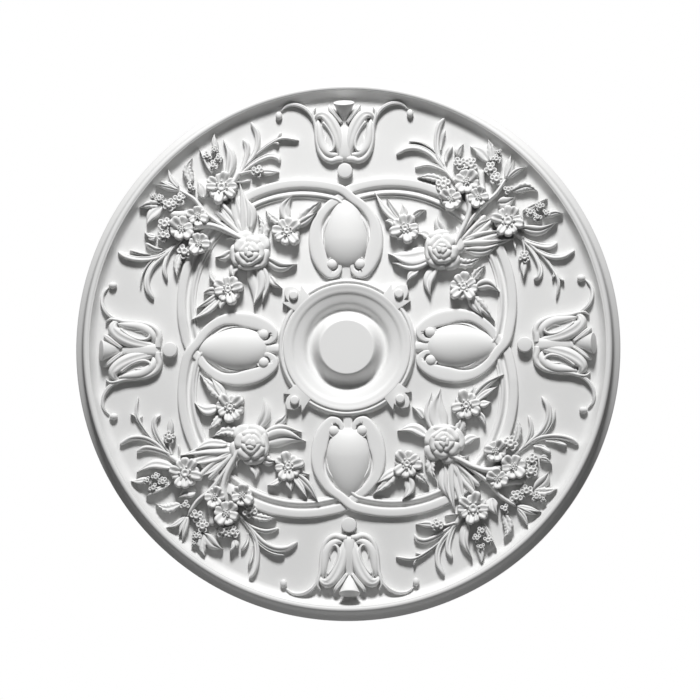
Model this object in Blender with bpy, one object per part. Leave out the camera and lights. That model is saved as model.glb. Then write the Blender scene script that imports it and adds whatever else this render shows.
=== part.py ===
# Ceiling rose: one moulding with a rimmed round field, a dished centre with a flat pad,
# interlaced straps, four cartouches, four husks with tendrils and four sprays of flowers.
# It is modelled lying on its back, ornament up, and then stood upright: the flat back is
# the plane y = 0, the ornament faces -Y, and the origin is the middle of the back.

from math import asin, cos, pi, radians, sin

import bmesh
import bpy
from mathutils import Matrix, Vector

MM = 0.001

# Disc and rim, from the outside in
OUTER_RADIUS = 475 * MM
SIDES = 48
BACK_LIP = 5 * MM
LIP_WIDTH = 10 * MM
LIP_RISE = 3 * MM
RIM_RISE = 19 * MM
RIM_FALL = 5 * MM
CREST_WIDTH = 8 * MM
COVE_WIDTH = 12 * MM
FIELD_HEIGHT = 16 * MM

# The pattern is drawn in millimetres on a rose of the drawn radius, so that every place
# and width in it grows and shrinks with the rose, while its heights stay as they are.
DRAWN_RADIUS = 475
PLAN = OUTER_RADIUS / DRAWN_RADIUS

# Centre: collar, bowl, boss and pad
COLLAR_RADIUS = 113 * PLAN
COLLAR_RISE = 18.5 * MM
COLLAR_WIDTH = 6 * PLAN
COLLAR_STEP = 6 * MM
BOWL_RADIUS = 97 * PLAN
BOWL_FLOOR_RADIUS = 72 * PLAN
BOWL_DEPTH = 8 * MM
PAD_RADIUS = 47 * PLAN
PAD_RISE = 17 * MM
BOSS_FLARE = 11 * PLAN

# How deep each piece of ornament is rooted in the field
ROOT_DEPTH = 6 * MM

# Straps
QUARTERS = 4
ARC_CENTRE = 77.5 * PLAN
ARC_RADIUS = 216.5 * PLAN
ARC_STEPS = 11
CROSSING_LEAD = radians(5)
STRAP_WIDTH = 31 * PLAN
STRAP_RISE = 11 * MM
WEAVE_RISE = 5 * MM
VOLUTE_RISE = 10 * MM
SCROLL = ((49, 243), (65, 206), (63, 162), (42, 127), (21, 117), (6, 127), (10, 152))
SCROLL_WIDTHS = (28, 27, 26, 21, 16, 12, 6)

# Cartouche filling
EGG_HALF_WIDTH = 37 * PLAN
EGG_POINT = 257 * PLAN
EGG_MIDDLE = 192 * PLAN
EGG_FOOT = 154 * PLAN
EGG_RISE = 22 * MM
NECK_WIDTH = 10 * PLAN

# Ears on the collar
EAR_TIP = 142 * PLAN
EAR_NOTCH = 110 * PLAN
EAR_SPREAD = radians(9.6)
EAR_NOTCH_SPREAD = radians(9.3)
EAR_POINT = 137 * PLAN
EAR_RISE = 15 * MM
EAR_BEAD_PLACE = 130 * PLAN
EAR_BEAD_RADIUS = 8.5 * PLAN

# Husk
KNOB_PLACE = 309 * PLAN
KNOB_RADIUS = 13 * PLAN
KNOB_RISE = 14 * MM
CUP_PLACE = 426 * PLAN
CUP_LENGTH = 38 * PLAN
CUP_HALF_WIDTH = 19 * PLAN
HUSK_RISE = 14 * MM
HUSK_LOBE = ((10, 332), (44, 347), (44, 388), (51, 421))
HUSK_LOBE_WIDTHS = (10, 16, 12, 1)
TENDRIL = ((49, 360), (66, 402), (98, 423), (115, 410))
TENDRIL_WIDTH = 4 * PLAN
TENDRIL_RISE = 10 * MM

# Spray: where each flower, leaf and stem stands, measured from the middle of the rose
DAISIES = ((281, 216, 28), (107, 206, 26), (204, 102, 26))
DAISY_PETALS = 7
DAISY_RISE = 22 * MM
FIVE_PETALS = ((185, 251, 21), (220, 285, 21), (240, 251, 21))
FIVE_PETAL_RISE = 24 * MM
ROSE = (170, 169, 32)
ROSE_RISE = 40 * MM
BERRIES = ((218, 318, 14), (264, 311, 16), (340, 229, 16), (311, 147, 10))
BERRY_RISE = 18 * MM
BROAD_LEAVES = (
    ((178, 300), (150, 360), (176, 396), 10),
    ((250, 314), (244, 346), (229, 354), 14),
    ((297, 265), (321, 279), (339, 265), 10),
    ((304, 218), (346, 196), (372, 211), 11),
    ((189, 175), (244, 182), (290, 178), 14),
    ((157, 164), (115, 147), (73, 161), 21),
    ((178, 154), (210, 136), (236, 154), 13),
    ((222, 98), (248, 112), (267, 91), 11),
    ((217, 87), (232, 73), (257, 42), 13),
    ((157, 136), (133, 112), (147, 87), 11),
)
NARROW_LEAVES = (
    ((171, 285), (148, 292), (129, 297), 8),
    ((262, 323), (260, 346), (253, 360), 9),
    ((285, 283), (290, 311), (293, 330), 6),
    ((285, 283), (304, 300), (320, 306), 6),
    ((346, 232), (363, 234), (379, 223), 8),
    ((94, 213), (66, 237), (51, 272), 8),
    ((94, 210), (82, 220), (68, 220), 7),
    ((119, 220), (122, 232), (134, 236), 8),
    ((225, 112), (230, 124), (243, 140), 9),
)
LEAF_RISE = 14 * MM
NARROW_LEAF_RISE = 12 * MM
FRONDS = (
    ((196, 276), (150, 346), (115, 354), (91, 337)),
    ((189, 276), (157, 318), (126, 313)),
    ((297, 196), (349, 155), (400, 161)),
    ((300, 192), (335, 173), (370, 175)),
    ((307, 185), (340, 150), (328, 112)),
    ((332, 168), (367, 119), (361, 75)),
)
FROND_WIDTH = 7 * PLAN
FROND_RISE = 12 * MM
STEMS = (
    ((189, 171), (215, 223), (210, 272)),
    ((190, 171), (248, 237), (283, 286)),
)
STEM_WIDTH = 6 * PLAN
STEM_RISE = 20 * MM

PLASTER_WHITE = (0.84, 0.84, 0.83, 1.0)
ROUGHNESS = 0.62
SMOOTH_ANGLE = radians(35)
WELD_DISTANCE = 0.1 * MM
STAND_UP = Matrix.Rotation(pi / 2, 4, "X")


def clear_scene():
    for thing in list(bpy.data.objects):
        bpy.data.objects.remove(thing)


def white_material():
    material = bpy.data.materials.new("primed_moulding")
    material.use_nodes = True
    shader = material.node_tree.nodes["Principled BSDF"]
    shader.inputs["Base Color"].default_value = PLASTER_WHITE
    shader.inputs["Roughness"].default_value = ROUGHNESS
    shader.inputs["Metallic"].default_value = 0.0
    return material


def drawn(points):
    """Places of the drawn pattern as vectors in metres."""
    return [Vector(point[:2]) * PLAN for point in points]


def mesh_from(bm, name):
    bmesh.ops.recalc_face_normals(bm, faces=bm.faces)
    mesh = bpy.data.meshes.new(name)
    bm.to_mesh(mesh)
    bm.free()
    mesh.transform(STAND_UP)
    mesh.shade_smooth()
    mesh.set_sharp_from_angle(angle=SMOOTH_ANGLE)
    return mesh


def disc_profile():
    """The turned section as (radius, height), from the middle of the pad out to the back edge."""
    collar_top = FIELD_HEIGHT + COLLAR_RISE
    bowl_floor = FIELD_HEIGHT - BOWL_DEPTH
    bead_outer = COLLAR_RADIUS - COLLAR_WIDTH
    rim_top = FIELD_HEIGHT + RIM_RISE
    lip_inner = OUTER_RADIUS - LIP_WIDTH
    crest_outer = lip_inner - RIM_FALL
    crest_inner = crest_outer - CREST_WIDTH
    cove_foot = crest_inner - COVE_WIDTH
    return (
        (0.0, FIELD_HEIGHT + PAD_RISE),
        (PAD_RADIUS, FIELD_HEIGHT + PAD_RISE),
        (PAD_RADIUS + BOSS_FLARE, FIELD_HEIGHT),
        (BOWL_FLOOR_RADIUS, bowl_floor),
        ((BOWL_FLOOR_RADIUS + BOWL_RADIUS) / 2, FIELD_HEIGHT - BOWL_DEPTH / 2),
        (BOWL_RADIUS, FIELD_HEIGHT + BOWL_DEPTH),
        (BOWL_RADIUS + COLLAR_WIDTH / 2, collar_top - COLLAR_STEP),
        (bead_outer, collar_top - COLLAR_STEP),
        (bead_outer + COLLAR_WIDTH / 3, collar_top),
        (COLLAR_RADIUS, collar_top),
        (COLLAR_RADIUS, FIELD_HEIGHT),
        (cove_foot, FIELD_HEIGHT),
        (crest_inner, rim_top),
        (crest_outer, rim_top),
        (lip_inner, FIELD_HEIGHT + LIP_RISE),
        (OUTER_RADIUS, BACK_LIP),
        (OUTER_RADIUS, 0.0),
        (0.0, 0.0),
    )


def turned_disc():
    bm = bmesh.new()
    corners = [bm.verts.new((radius, 0.0, height)) for radius, height in disc_profile()]
    edges = [bm.edges.new(pair) for pair in zip(corners, corners[1:])]
    bmesh.ops.spin(bm, geom=corners + edges, cent=(0, 0, 0), axis=(0, 0, 1), angle=2 * pi,
                   steps=SIDES, use_merge=True, use_duplicate=False)
    bmesh.ops.remove_doubles(bm, verts=bm.verts, dist=WELD_DISTANCE)
    return mesh_from(bm, "ceiling_rose")


def skin(bodies, sections):
    """A closed body through sections with the same number of points; points that meet are made one."""
    bm = bmesh.new()
    rings = [[bm.verts.new(point) for point in section] for section in sections]
    for near, far in zip(rings, rings[1:]):
        for index in range(len(near)):
            after = (index + 1) % len(near)
            bm.faces.new((near[index], near[after], far[after], far[index]))
    bm.faces.new(list(reversed(rings[0])))
    bm.faces.new(rings[-1])
    bmesh.ops.remove_doubles(bm, verts=bm.verts, dist=WELD_DISTANCE)
    bmesh.ops.triangulate(bm, faces=bm.faces)
    bodies.append(mesh_from(bm, "body"))


def sideways(points, index):
    """The unit vector to the left of the path at one of its points."""
    before = points[max(index - 1, 0)]
    after = points[min(index + 1, len(points) - 1)]
    along = (after - before).normalized()
    return Vector((-along.y, along.x))


def ridge(bodies, points, half_widths, rises, edge_share=0.0):
    """A ridged body along a path: with an edge share its sides stand up before they slope to the ridge."""
    root = FIELD_HEIGHT - ROOT_DEPTH
    sections = []
    for index, (point, half, rise) in enumerate(zip(points, half_widths, rises)):
        aside = sideways(points, index) * half
        crest = FIELD_HEIGHT + rise
        section = [(*(point - aside), root), (*point, crest), (*(point + aside), root)]
        if edge_share:
            shoulder = FIELD_HEIGHT + rise * edge_share
            section.insert(1, (*(point - aside), shoulder))
            section.insert(3, (*(point + aside), shoulder))
        sections.append(section)
    skin(bodies, sections)


def bent(base, bend, tip, steps):
    """Points along the curve from base to tip that leans towards the bend point."""
    points = []
    for step in range(steps + 1):
        share = step / steps
        points.append(base.lerp(bend, share).lerp(bend.lerp(tip, share), share))
    return points


def leaf(bodies, base, bend, tip, half_width, rise, edge_share):
    points = bent(base, bend, tip, 2)
    widths = [half_width * share for share in (0.5, 1.0, 0.0)]
    rises = [rise * share for share in (1.0, 1.0, 0.4)]
    ridge(bodies, points, widths, rises, edge_share)


def circle(centre, radius, sides):
    angles = [2 * pi * side / sides for side in range(sides)]
    return [centre + radius * Vector((cos(angle), sin(angle))) for angle in angles]


def boss(bodies, outline, middle, levels, peak=None):
    """An upright body over an outline: each level is (size as a share of the outline, height)."""
    sections = [[(*(middle + (point - middle) * size), height) for point in outline] for size, height in levels]
    if peak is not None:
        sections.append([(*middle, peak)] * len(outline))
    skin(bodies, sections)


def dome(bodies, centre, radius, rise, sides):
    """A round boss with an upright side and a pointed crown."""
    root = FIELD_HEIGHT - ROOT_DEPTH
    shoulder = FIELD_HEIGHT + rise * 0.7
    boss(bodies, circle(centre, radius, sides), centre, ((1.0, root), (0.9, shoulder)), FIELD_HEIGHT + rise)


def flower(bodies, centre, radius, petals, rise, notch=0.66):
    """An open flower with scalloped petals that rise to its middle."""
    root = FIELD_HEIGHT - ROOT_DEPTH
    outline = []
    for index, point in enumerate(circle(centre, radius, 2 * petals)):
        outline.append(centre.lerp(point, 1.0 if index % 2 else notch))
    boss(bodies, outline, centre, ((1.0, root), (1.0, FIELD_HEIGHT + rise * 0.8)), FIELD_HEIGHT + rise)


def scroll_side(turn):
    """One side of a cartouche from its crossing down to the volute, as (outer edge point, width)."""
    side = []
    for point, width in zip(drawn(SCROLL), SCROLL_WIDTHS):
        side.append((turn @ point, width * PLAN))
    return side


def strap(bodies):
    """One strap: volute, cartouche side, great arc, cartouche side and volute again."""
    mirror_x = Matrix(((-1, 0), (0, 1)))
    swap = Matrix(((0, 1), (-1, 0)))
    centre = Vector((ARC_CENTRE, ARC_CENTRE))
    start = pi / 2 + asin(ARC_CENTRE / ARC_RADIUS) - CROSSING_LEAD
    finish = pi / 2 - start
    arc = []
    for step in range(ARC_STEPS + 1):
        angle = start + (finish - start) * step / ARC_STEPS
        arc.append((centre + ARC_RADIUS * Vector((cos(angle), sin(angle))), STRAP_WIDTH))
    under = scroll_side(mirror_x)
    over = scroll_side(swap)
    stations = list(reversed(under)) + arc + over
    crossing = len(under)
    sections = []
    points = [point for point, width in stations]
    for index, (point, width) in enumerate(stations):
        inwards = -sideways(points, index)
        rise = strap_rise(index, crossing, crossing + ARC_STEPS, len(stations) - 1)
        sections.append(strap_section(point, inwards, width, rise))
    skin(bodies, sections)


def strap_rise(index, first_crossing, last_crossing, last):
    """Lower where the strap dives under its neighbour, higher where it rides over the next."""
    if index in (0, last):
        return VOLUTE_RISE
    if abs(index - first_crossing) <= 1:
        return STRAP_RISE
    if abs(index - last_crossing) <= 1:
        return STRAP_RISE + WEAVE_RISE
    return STRAP_RISE + WEAVE_RISE / 3


def strap_section(outer, inwards, width, rise):
    """A raised flat band on the outer side that falls to the inner side."""
    root = FIELD_HEIGHT - ROOT_DEPTH
    top = FIELD_HEIGHT + rise
    return [
        (*outer, root),
        (*outer, top),
        (*(outer + inwards * width * 0.55), top),
        (*(outer + inwards * width), root),
    ]


def egg(bodies):
    """The pointed egg between the two sides of a cartouche, and the neck under it."""
    middle = Vector((0.0, EGG_MIDDLE))
    outline = []
    for share in (-1.0, -0.75, 0.0, 0.75, 1.0):
        outline.append(Vector((share * EGG_HALF_WIDTH, egg_reach(share))))
    for share in (0.7, 0.0, -0.7):
        foot = EGG_MIDDLE - (EGG_MIDDLE - EGG_FOOT) * (1 - share ** 2) ** 0.5
        outline.append(Vector((share * EGG_HALF_WIDTH, foot)))
    levels = (
        (1.0, FIELD_HEIGHT - ROOT_DEPTH),
        (1.0, FIELD_HEIGHT + EGG_RISE * 0.3),
        (0.6, FIELD_HEIGHT + EGG_RISE * 0.85),
    )
    boss(bodies, outline, middle, levels, FIELD_HEIGHT + EGG_RISE)
    foot = [Vector((0.0, COLLAR_RADIUS - COLLAR_WIDTH)), Vector((0.0, EGG_FOOT + COLLAR_WIDTH))]
    ridge(bodies, foot, [NECK_WIDTH / 2] * 2, [EGG_RISE * 0.5] * 2)


def egg_reach(share):
    """How far out the upper edge of the egg is, for a share of its half width."""
    return EGG_MIDDLE + (EGG_POINT - EGG_MIDDLE) * (1 - abs(share) ** 1.6)


def polar(radius, angle):
    return Vector((radius * cos(angle), radius * sin(angle)))


def ear(bodies):
    """A barbed plate on the collar, on the diagonal, with a bead on it."""
    middle = pi / 4
    outline = [
        polar(COLLAR_RADIUS - COLLAR_WIDTH, middle - EAR_NOTCH_SPREAD),
        polar(EAR_NOTCH, middle - EAR_NOTCH_SPREAD),
        polar(EAR_POINT, middle - EAR_SPREAD),
        polar(EAR_TIP, middle),
        polar(EAR_POINT, middle + EAR_SPREAD),
        polar(EAR_NOTCH, middle + EAR_NOTCH_SPREAD),
        polar(COLLAR_RADIUS - COLLAR_WIDTH, middle + EAR_NOTCH_SPREAD),
    ]
    levels = ((1.0, FIELD_HEIGHT - ROOT_DEPTH), (1.0, FIELD_HEIGHT + EAR_RISE))
    boss(bodies, outline, polar(COLLAR_RADIUS, middle), levels)
    dome(bodies, polar(EAR_BEAD_PLACE, middle), EAR_BEAD_RADIUS, EAR_RISE * 1.4, 6)


def husk(bodies):
    """The husk on the axis: knob, stem, cup, curled lobes and a tendril on each side."""
    dome(bodies, Vector((0.0, KNOB_PLACE)), KNOB_RADIUS, KNOB_RISE, 8)
    cup = [Vector((0.0, KNOB_PLACE + KNOB_RADIUS / 2)), Vector((0.0, CUP_PLACE - CUP_LENGTH)),
           Vector((0.0, CUP_PLACE))]
    widths = [CUP_HALF_WIDTH * share for share in (0.5, 0.45, 1.0)]
    ridge(bodies, cup, widths, [HUSK_RISE * share for share in (0.7, 0.8, 1.1)], 0.5)
    for hand in (1, -1):
        flip = Matrix(((hand, 0), (0, 1)))
        lobe = [flip @ point for point in drawn(HUSK_LOBE)]
        ridge(bodies, lobe, [width * PLAN for width in HUSK_LOBE_WIDTHS], [HUSK_RISE] * len(lobe), 0.5)
        tendril = [flip @ point for point in drawn(TENDRIL)]
        ridge(bodies, tendril, [TENDRIL_WIDTH] * len(tendril), [TENDRIL_RISE] * len(tendril))


def rose(bodies):
    """The big double rose, the highest flower of the spray."""
    x, y, radius = (value * PLAN for value in ROSE)
    centre = Vector((x, y))
    flower(bodies, centre, radius, 5, ROSE_RISE * 0.7, 0.85)
    dome(bodies, centre, radius * 0.6, ROSE_RISE, 7)


def spray(bodies):
    for x, y, radius in DAISIES:
        flower(bodies, Vector((x, y)) * PLAN, radius * PLAN, DAISY_PETALS, DAISY_RISE)
    for x, y, radius in FIVE_PETALS:
        flower(bodies, Vector((x, y)) * PLAN, radius * PLAN, 5, FIVE_PETAL_RISE)
    for x, y, radius in BERRIES:
        dome(bodies, Vector((x, y)) * PLAN, radius * PLAN, BERRY_RISE, 6)
    rose(bodies)
    for base, bend, tip, half_width in BROAD_LEAVES:
        leaf(bodies, *drawn((base, bend, tip)), half_width * PLAN, LEAF_RISE, 0.6)
    for base, bend, tip, half_width in NARROW_LEAVES:
        leaf(bodies, *drawn((base, bend, tip)), half_width * PLAN, NARROW_LEAF_RISE, 0.0)
    for route in FRONDS:
        points = drawn(route)
        widths = [FROND_WIDTH * (0.6 + 0.5 * index / len(points)) for index in range(len(points))]
        ridge(bodies, points, widths, [FROND_RISE] * len(points))
    for route in STEMS:
        points = drawn(route)
        ridge(bodies, points, [STEM_WIDTH] * len(points), [STEM_RISE] * len(points))


def ornament():
    """Every body of one quarter, and its copies turned into the other quarters."""
    bodies = []
    for add in (strap, egg, ear, husk, spray):
        add(bodies)
    gathered = bpy.data.collections.new("ornament")
    bpy.context.scene.collection.children.link(gathered)
    for turn in range(QUARTERS):
        for mesh in bodies:
            copy = bpy.data.objects.new("ornament_body", mesh)
            copy.rotation_euler.y = turn * 2 * pi / QUARTERS
            copy.hide_render = True
            copy.display_type = "WIRE"
            gathered.objects.link(copy)
    return gathered


def build():
    clear_scene()
    disc = bpy.data.objects.new("ceiling_rose", turned_disc())
    disc.data.materials.append(white_material())
    bpy.context.scene.collection.objects.link(disc)
    # The many thin bodies meet in slivers, which only this solver joins into one closed casting
    joined = disc.modifiers.new("one_casting", "BOOLEAN")
    joined.operation = "UNION"
    joined.solver = "MANIFOLD"
    joined.operand_type = "COLLECTION"
    joined.collection = ornament()
    closed = disc.modifiers.new("close_slivers", "WELD")
    closed.merge_threshold = WELD_DISTANCE


build()
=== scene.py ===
from math import asin, cos, hypot, pi, radians, sin

import bmesh
import bpy
from mathutils import Matrix, Vector


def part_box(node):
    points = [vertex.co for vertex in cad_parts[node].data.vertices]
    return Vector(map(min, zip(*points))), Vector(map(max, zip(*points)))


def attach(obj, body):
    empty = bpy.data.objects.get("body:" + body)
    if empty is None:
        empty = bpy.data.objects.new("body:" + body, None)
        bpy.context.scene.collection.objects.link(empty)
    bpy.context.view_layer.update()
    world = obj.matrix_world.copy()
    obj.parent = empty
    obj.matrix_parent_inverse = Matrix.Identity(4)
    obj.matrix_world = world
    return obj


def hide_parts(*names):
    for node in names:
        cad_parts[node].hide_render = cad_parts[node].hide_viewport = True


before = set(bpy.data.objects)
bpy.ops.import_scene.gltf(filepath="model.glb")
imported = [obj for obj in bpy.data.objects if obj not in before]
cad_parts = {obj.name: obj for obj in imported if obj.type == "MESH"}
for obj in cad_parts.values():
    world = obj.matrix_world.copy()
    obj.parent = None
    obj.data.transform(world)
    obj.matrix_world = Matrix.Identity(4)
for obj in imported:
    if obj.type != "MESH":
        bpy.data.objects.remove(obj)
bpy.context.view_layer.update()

# The disc: one turned shape, poured in a single mould with everything that stands on it.
# From the outside in it has a thin lip at the ceiling, a rounded rim with a bead inside it,
# the plain field, a collar, a hollow ring and a raised pad for the lamp's cup.
MM = 0.001
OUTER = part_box("ceiling_rose")[1][0]
FIELD = 16 * MM
STAND_UP = Matrix.Rotation(pi / 2, 4, "X")


def smooth_route(points, steps):
    """Points along a smooth curve through the given ones, as lists of the same length."""
    points = [Vector(point) for point in points]
    ends = [2 * points[0] - points[1]] + points + [2 * points[-1] - points[-2]]
    route = []
    for index in range(1, len(ends) - 2):
        before, here, there, after = ends[index - 1:index + 3]
        handles = here + (there - before) / 6, there - (after - here) / 6
        last = index == len(ends) - 3
        for step in range(steps + last):
            share = step / steps
            back = 1 - share
            route.append(back ** 3 * here + 3 * back ** 2 * share * handles[0]
                         + 3 * back * share ** 2 * handles[1] + share ** 3 * there)
    return route


def finish_piece(bm, name, quarters=1):
    """Turns the quarter into a whole ring, stands it up and makes it a piece of the rose."""
    bmesh.ops.remove_doubles(bm, verts=bm.verts, dist=0.01 * MM)
    bmesh.ops.recalc_face_normals(bm, faces=bm.faces)
    first = bm.verts[:] + bm.edges[:] + bm.faces[:]
    for turn in range(1, quarters):
        copied = bmesh.ops.duplicate(bm, geom=first)["geom"]
        verts = [part for part in copied if isinstance(part, bmesh.types.BMVert)]
        bmesh.ops.rotate(bm, verts=verts, matrix=Matrix.Rotation(turn * pi / 2, 3, "Z"))
    bmesh.ops.transform(bm, matrix=STAND_UP, verts=bm.verts)
    mesh = bpy.data.meshes.new(name)
    bm.to_mesh(mesh)
    bm.free()
    mesh.shade_smooth()
    piece = bpy.data.objects.new(name, mesh)
    bpy.context.collection.objects.link(piece)
    piece.data.materials.append(primed_white)
    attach(piece, "root")
    return piece


class Wire:
    """A socket's output that can be used in sums."""

    def __init__(self, tree, socket):
        self.tree = tree
        self.socket = socket

    def node(self, kind, settings=None, **inputs):
        made = self.tree.nodes.new(kind)
        for key, value in (settings or {}).items():
            setattr(made, key, value)
        for key, value in inputs.items():
            socket = made.inputs[int(key[1:])] if key[0] == "_" else made.inputs[key.replace("_", " ")]
            if isinstance(value, Wire):
                self.tree.links.new(value.socket, socket)
            else:
                socket.default_value = value
        return made

    def sum_with(self, other, operation, turned=False):
        first, second = (other, self) if turned else (self, other)
        made = self.node("ShaderNodeMath", {"operation": operation}, _0=first, _1=second)
        return Wire(self.tree, made.outputs[0])

    def __add__(self, other):
        return self.sum_with(other, "ADD")

    def __mul__(self, other):
        return self.sum_with(other, "MULTIPLY")

    def __sub__(self, other):
        return self.sum_with(other, "SUBTRACT")

    def __rsub__(self, other):
        return self.sum_with(other, "SUBTRACT", turned=True)

    __radd__ = __add__
    __rmul__ = __mul__


primed_white = bpy.data.materials.new("primed_white")
primed_white.use_nodes = True
tree = primed_white.node_tree
shader = tree.nodes["Principled BSDF"]
place = Wire(tree, tree.nodes.new("ShaderNodeTexCoord").outputs["Object"])


def mottle(size, detail, rough=0.5):
    """Soft noise whose blotches are about this big."""
    made = place.node("ShaderNodeTexNoise", None, Vector=place, Scale=1 / size, Detail=detail,
                      Roughness=rough)
    return Wire(tree, made.outputs["Fac"])


blotch = mottle(120 * MM, 3)
grain = mottle(3 * MM, 4, 0.6)
pores = mottle(0.9 * MM, 2)
tone = blotch * 0.6 + grain * 0.4
mixed = place.node("ShaderNodeMix", {"data_type": "RGBA"}, _0=tone)
mixed.inputs[6].default_value = (0.74, 0.74, 0.735, 1)
mixed.inputs[7].default_value = (0.80, 0.80, 0.795, 1)
tree.links.new(mixed.outputs[2], shader.inputs["Base Color"])
tree.links.new((0.5 + tone * 0.18).socket, shader.inputs["Roughness"])
bump = place.node("ShaderNodeBump", None, Strength=0.12, Distance=0.15 * MM,
                  Height=grain * 0.7 + pores * 0.3)
tree.links.new(bump.outputs["Normal"], shader.inputs["Normal"])
shader.inputs["Specular IOR Level"].default_value = 0.35

disc_profile = smooth_route(((0, 33), (40, 33), (46, 33)), 3)
disc_profile += smooth_route(((46.8, 32.8), (49, 30.8), (51.8, 26.4), (54.6, 20.8), (57.6, 15), (61, 9.8),
                              (64.4, 6.8), (67.4, 6.2), (70.4, 8), (73.2, 12), (76, 16), (79.6, 18.8),
                              (84.4, 20.8), (89, 22.4), (92.4, 23.8), (95.4, 26), (98.2, 27.2), (102, 28),
                              (105.4, 28.9), (108, 29.3), (109.6, 29.1)), 4)
disc_profile += smooth_route(((110.6, 28.2), (111.4, 25.4), (112.4, 25.4), (113.4, 27.4), (115.2, 28.2),
                              (116.8, 27.6), (118.8, 24.6), (120, 20), (121.2, 16.8), (124, 16)), 4)
disc_profile += smooth_route(((428, 16), (434, 16.2), (439.5, 18), (444, 22.5), (447.4, 28),
                              (449, 31.6)), 4)
disc_profile += smooth_route(((449.4, 32.6), (450.4, 33.4), (451.4, 33.4)), 3)
disc_profile += smooth_route(((451.8, 34.2), (454, 35), (457, 34.7), (459.8, 32.2), (461.6, 27),
                              (463.2, 21), (465.4, 17), (469, 13.6), (474, 9.4)), 4)
disc_profile += [Vector((475, 8.2)), Vector((475, 0)), Vector((0, 0))]

bm = bmesh.new()
section = [bm.verts.new((x * OUTER / 475, 0, y * MM)) for x, y in disc_profile]
edges = [bm.edges.new(pair) for pair in zip(section, section[1:])]
bmesh.ops.spin(bm, geom=section + edges, axis=(0, 0, 1), angle=2 * pi, steps=256, use_merge=True)
disc = finish_piece(bm, "moulded_disc")
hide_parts("ceiling_rose")

# The straps: four flat bands with a bead along the inner side. Each runs from one volute up the
# side of a cartouche, round a great arc and down into the next one, and they weave where they
# cross. They are modelled proud of the field with soft feet, as the mould draws them.
ARC_CENTRE = 77.5
ARC_RADIUS = 219.5
STRAP_WIDTH = 34
STRAP_RISE = 9.5
CROSSING = 285
CROSSING_REACH = 60
WEAVE = 3
SCROLL = ((18.3, 266.4), (34, 254.9), (48, 239.6), (59.4, 220), (65.3, 195.6), (64.3, 171.1), (58, 150.2),
          (45.4, 130.9), (30.7, 120.1), (16.4, 122.2), (8, 132), (7, 143.9), (11.9, 154.3), (21, 158.9),
          (29.7, 156.4), (33.9, 150.2))
SCROLL_WIDTH = (32, 31, 30, 29, 28, 28, 27, 22, 17, 13, 10, 7, 5.5, 4.5, 4, 3)
SCROLL_FLAT = (0.48, 0.5, 0.54, 0.64, 0.85, 1, 1, 1, 1, 1, 1, 1, 1, 1, 1, 1)
ARC_FLAT = 0.47
EYE = (24.4, 145.3)
EYE_RADIUS = 9
ROOT = FIELD - 2 * MM


def cast_strip(bm, along, across, surface):
    """A closed strip whose top is surface(t, s), for t from 0 to 1 along it and s from -1 to 1 across."""
    verts = bmesh.ops.create_grid(bm, x_segments=along, y_segments=across, size=0.5)["verts"]
    for vert in verts:
        vert.co = surface(vert.co.x + 0.5, vert.co.y * 2)
    border = list(dict.fromkeys(edge for vert in verts for edge in vert.link_edges if edge.is_boundary))
    skirt = bmesh.ops.extrude_edge_only(bm, edges=border)["geom"]
    foot = [part for part in skirt if isinstance(part, bmesh.types.BMVert)]
    for vert in foot:
        vert.co.z = ROOT
    lower = [part for part in skirt if isinstance(part, bmesh.types.BMEdge) and part.is_boundary]
    bmesh.ops.edgeloop_fill(bm, edges=lower)


def along_route(route, t):
    """The place and the direction at a share of the way along a route."""
    where = min(max(t, 0.0), 1.0) * (len(route) - 1)
    index = min(int(where), len(route) - 2)
    here = route[index].lerp(route[index + 1], where - index)
    ahead = route[min(index + 2, len(route) - 1)] - route[max(index - 1, 0)]
    return here, Vector(ahead[:2]).normalized()


def strap_height(share, flat):
    """The strap's section, from share 0 at its outer edge to 1 at its inner edge: a band and a bead."""
    if share <= flat:
        x = share / flat
        points = ((0.0, 0.0), (0.03, 0.7), (0.08, 0.9), (0.16, 0.985), (0.3, 1.0), (0.84, 0.99),
                  (0.93, 0.95), (1.0, 0.84))
    else:
        x = (share - flat) / (1 - flat)
        points = ((0.0, 0.84), (0.06, 0.35), (0.28, 0.3), (0.42, 0.6), (0.52, 0.84), (0.66, 0.92),
                  (0.76, 0.78), (0.84, 0.45), (0.92, 0.55), (0.98, 0.45), (1.0, 0.0))
    for (x0, y0), (x1, y1) in zip(points, points[1:]):
        if x <= x1:
            return y0 + (y1 - y0) * (x - x0) / (x1 - x0)
    return 0.0


arc_start = pi / 2 + asin(ARC_CENTRE / ARC_RADIUS)
arc_points = []
for step in range(15):
    angle = arc_start - radians(1) + (pi / 2 - 2 * arc_start + radians(2)) * step / 14
    arc_points.append((ARC_CENTRE + ARC_RADIUS * cos(angle), ARC_CENTRE + ARC_RADIUS * sin(angle),
                       STRAP_WIDTH, ARC_FLAT))
side = list(zip(SCROLL, SCROLL_WIDTH, SCROLL_FLAT))
under_side = [(-x, y, width, flat) for (x, y), width, flat in side]
over_side = [(y, -x, width, flat) for (x, y), width, flat in side]
strap_route = smooth_route([Vector(point) for point in under_side[::-1] + arc_points + over_side], 8)
BAND_COLUMNS = (0, 0.03, 0.08, 0.16, 0.3, 0.6, 0.84, 0.93, 1)
BEAD_COLUMNS = (0.06, 0.17, 0.28, 0.42, 0.52, 0.6, 0.68, 0.76, 0.84, 0.92, 0.98, 1)


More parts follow.
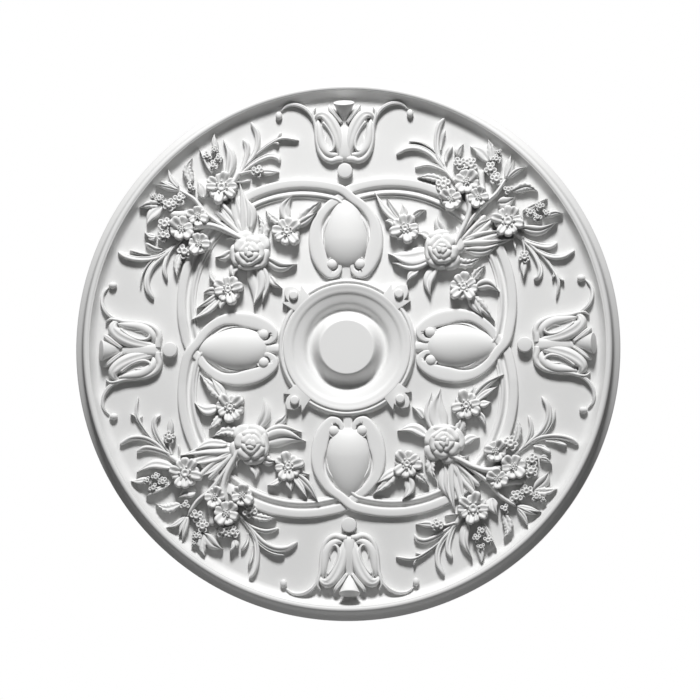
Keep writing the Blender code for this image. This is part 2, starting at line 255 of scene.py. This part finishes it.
def strap_surface(t, s):
    here, ahead = along_route(strap_route, t)
    flat = min(here.w, 0.999)
    column = round((s + 1) / 2 * (len(BAND_COLUMNS) + len(BEAD_COLUMNS) - 1))
    if column < len(BAND_COLUMNS):
        share = BAND_COLUMNS[column] * flat
    else:
        share = flat + BEAD_COLUMNS[column - len(BAND_COLUMNS)] * (1 - flat)
    inwards = Vector((ahead.y, -ahead.x))
    spot = Vector(here[:2]) + inwards * here.z * share
    near_over = max(0.0, 1 - hypot(spot.x - CROSSING, spot.y) / CROSSING_REACH) if spot.x > 0 else 0.0
    near_under = max(0.0, 1 - hypot(spot.x, spot.y - CROSSING) / CROSSING_REACH)
    curl = min(1.0, 4 * max(0.0, abs(t - 0.5) - 0.38))
    rise = STRAP_RISE + WEAVE * (near_over - near_under) - curl * share * 4
    return (spot.x * MM, spot.y * MM, FIELD + (strap_height(share, flat) * (rise + 2) - 2) * MM)


bm = bmesh.new()
cast_strip(bm, len(strap_route) - 1, len(BAND_COLUMNS) + len(BEAD_COLUMNS) - 1, strap_surface)
for hand in (1, -1):
    eye = bmesh.ops.create_uvsphere(bm, u_segments=24, v_segments=12, radius=EYE_RADIUS * MM)["verts"]
    for vert in eye:
        vert.co.z *= 0.6
    bmesh.ops.translate(bm, verts=eye, vec=(hand * EYE[0] * MM, EYE[1] * MM, FIELD + 8 * MM))
finish_piece(bm, "woven_straps", 4)

# The eggs: a smooth pointed boss that fills each cartouche, joined to the collar by a short neck
# that swells into it. They are cast with the disc and stand highest of the plain forms.
EGG_HALF = 39
EGG_MIDDLE = 189
EGG_POINT = 262
EGG_FOOT = 137
EGG_RISE = 22
NECK = ((0, 172.9), (0, 157.1), (0, 137.9), (0, 111.7))


def blade(bm, points, widths, heights, along=16, across=10, box=4, tip=1.0, detail=None, base=0.0):
    """A rounded strip through points, with half widths and rises above the field at each of them."""
    steps = 8
    knots = [Vector((x, y, width)) for (x, y), width in zip(points, widths)]
    route = smooth_route(knots, steps)
    rises = smooth_route([Vector((rise, 0, 0)) for rise in heights], steps)

    def surface(t, s):
        fine = sin(t * pi / 2) if tip else t
        if base:
            fine = (1 - cos(t * pi)) / 2
        here, ahead = along_route(route, fine)
        rise, _ = along_route(rises, fine)
        across_share = sin(s * pi / 2)
        end = (1 - fine ** (6 / tip)) ** 0.5 if tip else 1.0
        if base:
            end *= (1 - (1 - fine) ** (6 / base)) ** 0.5
        side = Vector((-ahead.y, ahead.x)) * max(here.z, 0.05) * across_share * end
        crown = (1 - abs(across_share) ** box) ** (1 / box)
        bump = detail(fine, across_share) if detail else 0.0
        z = (rise.x + bump) * crown * (0.35 + 0.65 * end)
        return ((here.x + side.x) * MM, (here.y + side.y) * MM, FIELD + z * MM - (1 - crown) * 2 * MM)

    cast_strip(bm, along, across, surface)


bm = bmesh.new()
egg = bmesh.ops.create_uvsphere(bm, u_segments=48, v_segments=32, radius=1)["verts"]
for vert in egg:
    x, y, z = vert.co
    reach = EGG_POINT - EGG_MIDDLE if y > 0 else EGG_MIDDLE - EGG_FOOT
    narrowing = 1 - 0.25 * max(y, 0) ** 1.5
    lifted = max(z, -0.1) * (1 - 0.12 * max(y, 0))
    vert.co = (x * EGG_HALF * narrowing * MM, (EGG_MIDDLE + y * reach) * MM,
               FIELD + lifted * EGG_RISE * MM)
blade(bm, NECK, (24, 13, 9, 9), (11, 9, 7.5, 7), along=24, across=12, box=3, tip=0)
finish_piece(bm, "cartouche_eggs", 4)

# The ears: between two cartouches the collar grows a barbed plate with a notch on each side and
# a round bead on it. Plate and bead are part of the same casting, with edges softened by the mould.
EAR_TOP = 29 * MM
EAR_HALF = ((61.1, 86.4), (63.9, 89.7), (79.6, 111.7), (80.8, 99.9), (87.3, 105.6), (96, 108.3), (106,
                                                                                                  106))
EAR_BEAD = 91.7

bm = bmesh.new()
outline = list(EAR_HALF) + [(y, x) for x, y in EAR_HALF[-2::-1]]
face = bm.faces.new([bm.verts.new((x * MM, y * MM, ROOT)) for x, y in outline])
plate = bmesh.ops.extrude_face_region(bm, geom=[face])["geom"]
top = [part for part in plate if isinstance(part, bmesh.types.BMVert)]
bmesh.ops.translate(bm, verts=top, vec=(0, 0, EAR_TOP - ROOT))
rim = [edge for edge in bm.edges if all(vert in top for vert in edge.verts)]
bmesh.ops.bevel(bm, geom=rim, offset=1.2 * MM, segments=3, affect="EDGES", profile=0.5, material=-1)
bead = bmesh.ops.create_cone(bm, cap_ends=True, segments=28, radius1=8.4 * MM, radius2=7.6 * MM,
                             depth=9 * MM)["verts"]
bmesh.ops.translate(bm, verts=bead, vec=(EAR_BEAD * MM, EAR_BEAD * MM, EAR_TOP + 2.5 * MM))
crown = [edge for edge in bm.edges if all(vert.co.z > EAR_TOP + 6 * MM for vert in edge.verts)]
bmesh.ops.bevel(bm, geom=crown, offset=2.2 * MM, segments=4, affect="EDGES", profile=0.5, material=-1)
finish_piece(bm, "collar_ears", 4)

# The husks: on each axis a knob, a fluted stem that parts into two curled lobes, a small cup
# between them, and a thin tendril on each side that ends in a bead under the rim.


def mirrored(points, hand):
    """The same points on the other side of the axis where hand is -1."""
    return [(hand * x, y) for x, y in points]


def flute(t, s):
    """The groove along the middle of a lobe, which runs out at both ends."""
    return -2.6 * max(0.0, 1 - abs(s) / 0.2) * min(1, 4 * (1 - t)) * min(1, 3 * t)


def pin(bm, centre, radius, height, edge):
    """A round pin with a flat face and a soft edge."""
    verts = bmesh.ops.create_cone(bm, cap_ends=True, segments=32, radius1=radius * 1.04 * MM,
                                  radius2=radius * MM, depth=(height + 2) * MM)["verts"]
    bmesh.ops.translate(bm, verts=verts, vec=(centre[0] * MM, centre[1] * MM,
                                              FIELD + (height / 2 - 1) * MM))
    crown = dict.fromkeys(edge for vert in verts for edge in vert.link_edges
                          if all(end.co.z > FIELD + (height - 1) * MM for end in edge.verts))
    bmesh.ops.bevel(bm, geom=list(crown), offset=edge * MM, segments=3, affect="EDGES", profile=0.5,
                    material=-1)


bm = bmesh.new()
pin(bm, (0, 309), 13, 15, 1.6)
blade(bm, ((0, 326.5), (0, 340.5), (0, 366.7), (0, 408.6)), (14, 11, 10.5, 8), (11, 13, 13.5, 9),
      along=20, base=0.5, box=4)
CUP_TILT = radians(24)
CUP_PLACE = (0, 411.4 * MM, FIELD + 12 * MM)
INNER_END = 200
cone = bmesh.ops.create_cone(bm, cap_ends=True, segments=40, radius1=2 * MM, radius2=19.2 * MM,
                             depth=36.7 * MM)["verts"]
mouth = [edge for edge in bm.edges if all(end in cone and end.co.z > 0 for end in edge.verts)]
bmesh.ops.bevel(bm, geom=mouth, offset=2 * MM, segments=3, affect="EDGES", profile=0.5, material=-1)
# The cup is still upright at the middle here, and the rest stands beyond INNER_END.
cone = [vert for vert in bm.verts if vert.co.y < INNER_END * MM]
bmesh.ops.transform(bm, verts=cone, matrix=Matrix.Translation(CUP_PLACE)
                    @ Matrix.Rotation(CUP_TILT - pi / 2, 4, "X") @ Matrix.Diagonal((1, 0.75, 1, 1)))
for hand in (1, -1):
    # The curled lobe, the low ground beside it, and the band that comes back from the curl.
    blade(bm, mirrored(((6.1, 331.7), (9.6, 354.4), (15.7, 377.1), (25.3, 396.3), (36.7, 407.5),
                        (47.1, 405.8), (52.4, 396.3)), hand),
          (7, 10, 12, 12.5, 11.5, 9, 6.5), (12, 14.5, 16.5, 18.5, 20, 19, 15), along=36, across=14,
          box=3.2, tip=1.6, base=0.6, detail=flute)
    blade(bm, mirrored(((27.1, 344), (27.1, 359.7), (32.3, 380.6), (41.9, 399.8)), hand), (10, 13, 13, 8),
          (8, 8, 9, 10), along=16, box=5, base=1)
    blade(bm, mirrored(((47.1, 401.6), (44.3, 382.4), (41.2, 361.4), (34.2, 346.8), (23.4, 338),
                        (10.5, 338.7)), hand),
          (6, 8, 9.5, 9.5, 8, 6), (17, 16, 15, 15, 15, 14), along=40, box=2.6, tip=1, base=1)
    # The fine loop within, and the outer stem that ends in a point beside the curl.
    blade(bm, mirrored(((37.5, 394.6), (27.6, 382.4), (19.9, 366.7), (18.5, 352.7), (23.4, 344),
                        (30, 346.8), (33.5, 359.7), (31.4, 375.4)), hand),
          (3.2, 3.4, 3.4, 3.4, 3.2, 3, 2.8, 2), (17, 16, 15.5, 15, 15, 14.5, 14.5, 14), along=56, box=2.5)
    blade(bm, mirrored(((3.5, 331), (14, 330), (24.4, 327.5), (35.8, 332.8), (44.3, 345.7), (48.9, 364.9),
                        (50.6, 387.6), (54.1, 401.6), (55.2, 413.1), (49.9, 421.8)), hand),
          (6, 6, 5.5, 5, 4.5, 4, 4, 4.3, 4.3, 4), (12, 12.5, 12.5, 12.5, 12, 12, 13, 15, 17, 18),
          along=64, box=2.8, tip=1.6)
    # The tendril, the small leaf beside the cup, and the bead at the tendril's end.
    blade(bm, mirrored(((48, 366.7), (50.6, 387.6), (55.9, 405.1), (64.6, 417.3), (76.8, 425.2),
                        (89, 427.8), (101.3, 425.2), (111.7, 416.4)), hand),
          (3, 3.2, 3.6, 3.8, 3.8, 3.6, 3.3, 2.8), (9, 10, 11, 11.5, 11, 10, 9, 9), along=48, box=2.8,
          detail=lambda t, s: -2.4 * max(0.0, 1 - abs(s) / 0.3))
    blade(bm, mirrored(((4.4, 392.9), (13.1, 405.1), (22, 416.4), (27.9, 425.2)), hand), (3, 4.5, 4.8, 3),
          (14, 16, 17, 17), along=20, across=12, box=3, tip=0.8,
          detail=lambda t, s: -2.2 * max(0.0, 1 - abs(s - 0.1) / 0.3))
    bead = bmesh.ops.create_uvsphere(bm, u_segments=16, v_segments=10, radius=6 * MM)["verts"]
    for vert in bead:
        vert.co.y *= 1.25
    bmesh.ops.translate(bm, verts=bead, vec=(hand * 114.9 * MM, 408.6 * MM, FIELD + 5 * MM))
finish_piece(bm, "axis_husks", 4)

# The outer sprays: a bunch of stems, fronds and leaves that fans out from the great arc to the
# rim on each diagonal, with an open flower, three stars and clusters of tiny cups on it.


def lance(bm, base, bend, tip, half, rise, teeth=0, lean=0.0):
    """A pointed leaf with a sunk midrib; teeth cut its edges and lean lifts its left half."""
    middle = ((base[0] + 2 * bend[0] + tip[0]) / 4, (base[1] + 2 * bend[1] + tip[1]) / 4)
    stations = 4 * teeth + 6 if teeth else 8
    route = smooth_route((base, middle, tip), stations // 2)
    widths = []
    for index in range(len(route)):
        share = index / (len(route) - 1)
        width = half * (0.25 + 0.75 * sin(pi * min(share / 0.92, 1) ** 0.75)) * (1 - share ** 5)
        if teeth:
            width *= 0.72 + 0.42 * (share * teeth % 1)
        widths.append(width)
    heights = [rise * (0.9 + 0.2 * sin(pi * index / len(route))) for index in range(len(route))]

    def ribs(t, s):
        midrib = -min(4.5, 0.4 * half) * max(0.0, 1 - abs(s) / 0.24) * min(1.0, 5 * (1.02 - t))
        veins = 0.9 * sin(t * 40 - abs(s) * 6) * min(1.0, abs(s) * 2) if teeth else 0.0
        return midrib + veins + lean * s

    blade(bm, [tuple(point[:2]) for point in route], widths, heights,
          along=max(20, 5 * teeth), across=14, box=5, tip=0.35, detail=ribs)


def frond(bm, route, half, rise, side=1):
    """A curling lobe: thin at its base, broad and rolled at its round end, and hollow on one side."""
    count = len(route)
    widths = [half * (0.3 + 0.7 * (index / (count - 1)) ** 0.7) for index in range(count)]
    heights = [rise * 0.7 + (rise * 0.3 + 5) * (index / (count - 1)) ** 2 for index in range(count)]

    def hollow(t, s):
        depth = 4.0 * sin(pi * min(1.0, 1.08 * t)) ** 0.7
        return -depth * max(0.0, 1 - abs(s * side + 0.3) / 0.34) + 1.5 * side * s

    blade(bm, route, widths, heights, along=32, across=14, box=3.2, tip=1.3, detail=hollow)


def petal(bm, centre, angle, start, reach, half, rise, lift, point=0.6, groove=2.0):
    """One petal from near the middle of a flower outwards, lifted at its end."""
    outward = Vector((cos(angle), sin(angle)))
    shares = (0, 0.35, 0.7, 1)
    points = [tuple(Vector(centre) + outward * (start + (reach - start) * share)) for share in shares]

    def cupped(t, s):
        return 0.5 * lift * s * s - groove * max(0.0, 1 - abs(s) / 0.3) * min(1.0, 3 * (1.05 - t))

    blade(bm, points, (half * 0.45, half * 0.9, half, half * 0.7),
          (rise, rise + lift * 0.35, rise + lift * 0.8, rise + lift), along=12, across=10, box=4.5,
          tip=point, detail=cupped)


def star(bm, centre, radius, petals, rise, lift=6.0, turn=0.0, width=0.84, point=0.6, button=0.22):
    """An open flower of separate petals, every other one lower, round a beaded button."""
    for index in range(petals):
        sway = 0.1 * sin(3.9 * index + 1.7 * petals + centre[0])
        angle = turn + 2 * pi * index / petals + 0.8 * sway
        lower = 3.0 * (index % 2) if petals > 5 else 0.0
        petal(bm, centre, angle, radius * 0.1, radius * (1 - 0.05 * (index % 2) + sway),
              width * radius * sin(pi / petals) * (1 + sway), rise - lower, lift * (1 + 4 * sway), point)
    cup(bm, centre, radius * button, rise + lift * 0.55, 2.5)
    for index in range(7):
        around = index * 2 * pi / 7
        spot = Vector(centre) + radius * (button + 0.09) * Vector((cos(around), sin(around)))
        bead = bmesh.ops.create_icosphere(bm, subdivisions=1, radius=radius * 0.085 * MM)["verts"]
        bmesh.ops.translate(bm, verts=bead,
                            vec=(spot.x * MM, spot.y * MM, FIELD + (rise + lift * 0.5) * MM))


def cup(bm, centre, radius, top, deep):
    """A tiny round cup with a hollow in its face."""
    height = min(top + 2, 16)
    made = bmesh.ops.create_cone(bm, cap_ends=True, segments=12, radius1=radius * 0.8 * MM,
                                 radius2=radius * MM, depth=height * MM)["verts"]
    bmesh.ops.translate(bm, verts=made, vec=(centre[0] * MM, centre[1] * MM,
                                             FIELD + (top - height / 2) * MM))
    face = max({face for vert in made for face in vert.link_faces},
               key=lambda f: f.calc_center_median().z)
    rim = bmesh.ops.bevel(bm, geom=list(face.edges), offset=radius * 0.22 * MM, segments=2,
                          affect="EDGES", profile=0.5, material=-1)["faces"]
    face = max({part for ring in rim for edge in ring.edges for part in edge.link_faces},
               key=lambda f: (len(f.verts), f.calc_center_median().z))
    bmesh.ops.inset_region(bm, faces=[face], thickness=radius * 0.25 * MM, depth=0)
    bmesh.ops.inset_region(bm, faces=[face], thickness=radius * 0.18 * MM, depth=-deep * MM)


def florets(bm, centre, radius, rise, count=5):
    """A tight bunch of tiny cups."""
    for index in range(count):
        angle = 2.4 * index + centre[0]
        reach = 0.0 if index == 0 else radius * 0.68
        spot = Vector(centre) + reach * Vector((cos(angle), sin(angle)))
        cup(bm, spot, radius * (0.5 if index == 0 else 0.42), rise + (3 if index == 0 else -index * 0.5),
            3.0)


def stalk(bm, route, half, rise):
    """A round stem."""
    blade(bm, route, [half] * len(route), [rise] * len(route), along=30, across=10, box=2.5, tip=0.3)


bm = bmesh.new()
for route, half, side in (
    (((192.1, 286.3), (176.3, 307.3), (165, 321.3), (148.4, 338.7), (127.5, 348.3), (107.2, 347.5),
      (89.9, 337)), 7.5, 1),
    (((188.6, 293.3), (176.3, 305.6), (160.6, 314.3), (142.5, 318.3), (122.2, 313.2)), 5.5, 1),
    (((172.9, 316), (160.6, 337), (144.9, 350.9), (129.2, 357.9), (112.6, 359.7)), 2.6, 1),
    (((193.8, 286.3), (178.1, 305.6), (165, 326.5), (160.3, 349.2), (161.3, 370.2), (166.6, 387.6),
      (174.6, 399.1)), 7, 1),
    (((167.6, 342.2), (169.4, 359.7), (175.5, 378.9)), 4.2, -1),
    (((176.3, 321.3), (178.1, 335.2), (187.7, 350.9)), 6, -1),
    (((296.8, 195.6), (310.8, 183.3), (334.7, 173.7), (354.4, 171.1), (368.4, 178.1)), 7, -1),
    (((303.8, 192.1), (319.5, 178.1), (337, 162.4), (356.2, 153.6), (377.8, 153.6),
      (398.1, 164.1)), 6.8, -1),
    (((300.3, 192.1), (316, 174.6), (330, 153.6), (338, 132.7), (335.2, 118.7), (326.5, 113.5)), 6.6, -1),
    (((324.8, 174.6), (342.2, 155.4), (357.9, 134.4), (369.3, 110), (364.9, 80.3)), 4.2, -1),
    (((359.7, 130.9), (361.4, 122.2), (358.8, 114.4)), 2.6, -1),
    (((366.7, 122.2), (371.9, 115.2), (378.9, 110.9)), 2.6, -1),
    (((293.3, 197.3), (293.3, 181.6), (295.6, 165.9)), 3, -1),
):
    frond(bm, route, half, 11, side)
for route, half, rise in (
    (((188.6, 172.9), (199, 193.8), (211.3, 218.2), (217.2, 242), (211.3, 267.1)), 5.6, 24),
    (((189.4, 174.6), (207.8, 202.5), (230.5, 234), (247.9, 251.4), (264.2, 265.4),
      (279.9, 289.8)), 4, 20),
    (((190.3, 172.9), (220, 202.5), (244.4, 227)), 5, 17),
    (((191.2, 172), (228.7, 193.8), (258.4, 220)), 5.4, 16),
    (((192.1, 171.1), (234, 183.3), (275.9, 195.6)), 5, 15),
    (((240.9, 265.4), (238.3, 284.6), (238.3, 307.3)), 6, 14),
    (((279.4, 202.5), (296.8, 193.8), (310.8, 185.1)), 5, 13),
    (((307.3, 183.3), (310.8, 169.4), (310.8, 157.1)), 2.4, 11),
):
    stalk(bm, route, half, rise)
for base, bend, tip, half, teeth, lean in (
    ((169.4, 289.8), (146.7, 298.6), (125.7, 295.1), 7.5, 5, 0),
    ((251.4, 321.3), (237.5, 344), (219.1, 348.3), 10.5, 0, 3),
    ((254.2, 321.3), (257.5, 342.2), (250.7, 361.4), 9.5, 4, -2),
    ((199, 331.7), (198.2, 342.2), (207.8, 352.7), 5, 0, 2),
    ((199, 331.7), (192.1, 340.5), (195.6, 346.6), 4, 0, 0),
    ((279.4, 291.6), (285.5, 316), (290.5, 333.5), 5, 0, -2),
    ((282, 291.6), (291.6, 307.3), (295.9, 324.8), 5, 0, 2),
    ((284.6, 291.6), (300.3, 307.3), (317.8, 309.6), 5, 0, 2),
    ((293.3, 268.9), (317.8, 282.9), (336.1, 267.1), 9.5, 6, 3),
    ((309, 232.2), (331.7, 242.7), (352.7, 254.9), 5, 0, 2),
    ((347.5, 223.5), (364.9, 230.5), (378.9, 227.9), 5.5, 0, 2),
    ((303.8, 204.3), (340.5, 188.6), (369.3, 213), 9, 0, 4),
    ((190.3, 172.9), (240.9, 167.6), (293.3, 185.1), 12, 0, 5),
    ((209.5, 165.9), (244.4, 157.1), (268.9, 176.3), 9, 0, 4),
    ((199, 179.8), (244.4, 192.1), (282.9, 200.8), 9, 0, 4),
    ((206, 188.6), (234, 211.3), (256.7, 221.7), 7, 0, 3),
    ((310.1, 146.7), (308.3, 132.7), (309, 115.2), 6, 0, 0),
    ((265.4, 247.9), (281.1, 244.4), (296.8, 258.4), 11, 0, 4),
):
    lance(bm, base, bend, tip, half, 14, teeth, lean)
finish_piece(bm, "outer_spray_leaves", 4)

bm = bmesh.new()
star(bm, (282.9, 215.5), 27.9, 10, 20, 8, 0.3, 0.92, 0.34, 0.27)
for x, y, radius, turn, rise in ((184.2, 255.8, 20.1, 0.35, 22), (212, 286, 22.7, 0.75, 20),
                                 (232.2, 257.7, 19.2, 0.1, 21)):
    star(bm, (x, y), radius, 6, rise, 8, turn, 0.86, 0.34, 0.16)
for x, y, radius, rise, count in (
    (171.6, 281.6, 12.9, 17, 7), (200.8, 318.5, 11.2, 17, 6), (220, 316, 11.9, 17, 7),
    (253.9, 308, 11.2, 17, 7), (264.3, 289.8, 11.2, 17, 7), (264.5, 324.8, 8.4, 17, 6),
    (268.5, 337, 5.9, 15, 4), (284.6, 270.6, 8.7, 17, 4), (338.7, 240.2, 8.4, 18, 5),
    (349.2, 227.9, 7.3, 17, 5), (334.4, 221.7, 8, 18, 5), (322.1, 230.5, 8.7, 17, 5),
    (310.4, 152.8, 10.5, 17, 6),
):
    florets(bm, (x, y), radius, rise, count)
finish_piece(bm, "outer_spray_flowers", 4)

# The inner sprays: between the collar's ear and the great arc, a full double rose with an open
# flower on each side, set in broad leaves.
bm = bmesh.new()
for base, bend, tip, half, teeth, lean in (
    ((150.2, 164.1), (111.7, 146.7), (73.3, 162.4), 17, 0, 5),
    ((150.2, 153.6), (115.2, 132.7), (80.3, 146.7), 10, 0, 4),
    ((181.6, 150.2), (213, 132.7), (237.5, 153.6), 10, 6, 3),
    ((157.1, 139.7), (132.7, 115.2), (146.7, 85.6), 10, 0, 4),
    ((216.5, 83.8), (234, 69.8), (257.5, 41.9), 11, 5, 3),
    ((213, 87.3), (223.5, 66.3), (237.5, 48.9), 8, 0, 3),
    ((225.2, 101.3), (247.9, 115.2), (267.1, 92.5), 10, 0, 3),
    ((220, 115.2), (228.7, 129.2), (242.7, 139.7), 8, 4, 2),
    ((94.3, 216.5), (66.3, 237.5), (50.6, 272.4), 7, 0, 3),
    ((97.8, 220), (80.3, 240.9), (71.6, 261.9), 6, 0, -2),
    ((90.8, 209.5), (80.3, 223.5), (68.1, 220), 6.5, 0, 2),
    ((101.3, 227), (103, 237.5), (98.6, 249.7), 7.5, 0, -3),
    ((115.2, 225.2), (127.5, 237.5), (141.4, 238.3), 5.5, 0, 3),
    ((171.1, 199), (155.4, 213), (160.6, 228.7), 8, 0, -3),
    ((150.2, 188.6), (136.2, 202.5), (125.7, 195.6), 9, 0, 3),
    ((125.7, 132.7), (111.7, 129.2), (104.8, 111.7), 7, 0, 2),
    ((188.6, 181.6), (202.5, 195.6), (192.1, 209.5), 6, 0, 2),
):
    lance(bm, base, bend, tip, half, 14, teeth, lean)
finish_piece(bm, "inner_spray_leaves", 4)


def rose(bm, centre, radius, turn):
    """A full rose: broad loose outer petals with rolled ends, then smaller, steeper ones within."""
    for count, start, reach, half, rise, lift, offset, uneven in (
        (5, 0.35, 1.06, 0.62, 17, 8, 0.0, 0.14), (5, 0.2, 0.82, 0.52, 24, 8, 0.55, 0.12),
        (4, 0.08, 0.56, 0.42, 30, 5, 0.25, 0.1), (3, 0.0, 0.32, 0.26, 34, 3, 0.9, 0.08),
    ):
        for index in range(count):
            sway = uneven * sin(4.7 * index + 2.1 * count + turn)
            angle = turn + offset + 2 * pi * index / count + sway
            petal(bm, centre, angle, radius * start, radius * reach * (1 - sway),
                  radius * half * (1 + sway), rise - 12 * sway, lift * (1 + 3 * sway), 1.5, 0.0)


bm = bmesh.new()
star(bm, (103.9, 206), 26.2, 8, 16, 7, 0.2, 0.84, 0.45)
star(bm, (204.3, 102.1), 26.2, 8, 16, 7, 0.6, 0.84, 0.45)
rose(bm, (167.6, 167.6), 34, 0.5)
finish_piece(bm, "inner_spray_flowers", 4)

# The studio: a pale floor below, one soft lamp high in front and a white room around. The floor
# and the room look pale to the camera but light the rose only a little, so that its shadows stay.
FLOOR_BELOW = 1.3
FLOOR_GLOW = 0.4
ROOM_LIGHT = 0.08
LAMP_FAR = 5.0
LAMP_RISE = radians(37)
PALE = (0.6, 0.6, 0.6, 1)
WHITE = (1, 1, 1, 1)

bm = bmesh.new()
bmesh.ops.create_grid(bm, x_segments=1, y_segments=1, size=8)
bmesh.ops.translate(bm, verts=bm.verts, vec=(0, 0, -FLOOR_BELOW))
floor_mesh = bpy.data.meshes.new("floor")
bm.to_mesh(floor_mesh)
bm.free()
floor = bpy.data.objects.new("floor", floor_mesh)
bpy.context.collection.objects.link(floor)
pale = bpy.data.materials.new("pale_floor")
pale.use_nodes = True
pale_shader = pale.node_tree.nodes["Principled BSDF"]
pale_shader.inputs["Base Color"].default_value = PALE
pale_shader.inputs["Emission Strength"].default_value = FLOOR_GLOW
pale_rays = pale.node_tree.nodes.new("ShaderNodeLightPath")
pale.node_tree.links.new(pale_rays.outputs["Is Camera Ray"], pale_shader.inputs["Emission Color"])
floor_mesh.materials.append(pale)

key = bpy.data.lights.new("key", "AREA")
key.shape = "DISK"
key.size = 1.25
key.spread = radians(40)
key.energy = 18.5
lamp = bpy.data.objects.new("key", key)
lamp.location = LAMP_FAR * Vector((0, -sin(LAMP_RISE), cos(LAMP_RISE)))
lamp.rotation_euler = (-lamp.location).to_track_quat("-Z", "Y").to_euler()
bpy.context.collection.objects.link(lamp)

room = bpy.data.worlds.new("room")
room.use_nodes = True
bpy.context.scene.world = room
back = room.node_tree.nodes["Background"]
seen = room.node_tree.nodes.new("ShaderNodeBackground")
seen.inputs["Color"].default_value = WHITE
seen.inputs["Strength"].default_value = 1.0
back.inputs["Color"].default_value = WHITE
back.inputs["Strength"].default_value = ROOM_LIGHT
rays = room.node_tree.nodes.new("ShaderNodeLightPath")
choose = room.node_tree.nodes.new("ShaderNodeMixShader")
room.node_tree.links.new(rays.outputs["Is Camera Ray"], choose.inputs["Fac"])
room.node_tree.links.new(back.outputs[0], choose.inputs[1])
room.node_tree.links.new(seen.outputs[0], choose.inputs[2])
room.node_tree.links.new(choose.outputs[0], room.node_tree.nodes["World Output"].inputs["Surface"])
bpy.context.scene.view_settings.view_transform = "Standard"

# The camera: far in front, a little below the middle and to the right of it, and turned by as much
# as the pattern is turned in the picture.
CAMERA_FAR = 6.0
CAMERA_SIDE = radians(2.5)
CAMERA_BELOW = radians(4.5)
CAMERA_ROLL = radians(0.65)
CAMERA_AIM = Vector((4.2, 0, -3.0)) * MM
FRAME_WIDTH = 1.2225
camera_data = bpy.data.cameras.new("camera")
camera = bpy.data.objects.new("camera", camera_data)
camera_data.lens = camera_data.sensor_width * CAMERA_FAR / FRAME_WIDTH
outward = Vector((sin(CAMERA_SIDE) * cos(CAMERA_BELOW), -cos(CAMERA_SIDE) * cos(CAMERA_BELOW),
                  -sin(CAMERA_BELOW)))
camera.location = CAMERA_AIM + CAMERA_FAR * outward
facing = outward.to_track_quat("Z", "Y").to_matrix() @ Matrix.Rotation(-CAMERA_ROLL, 3, "Z")
camera.rotation_euler = facing.to_euler()
bpy.context.collection.objects.link(camera)
bpy.context.scene.camera = camera
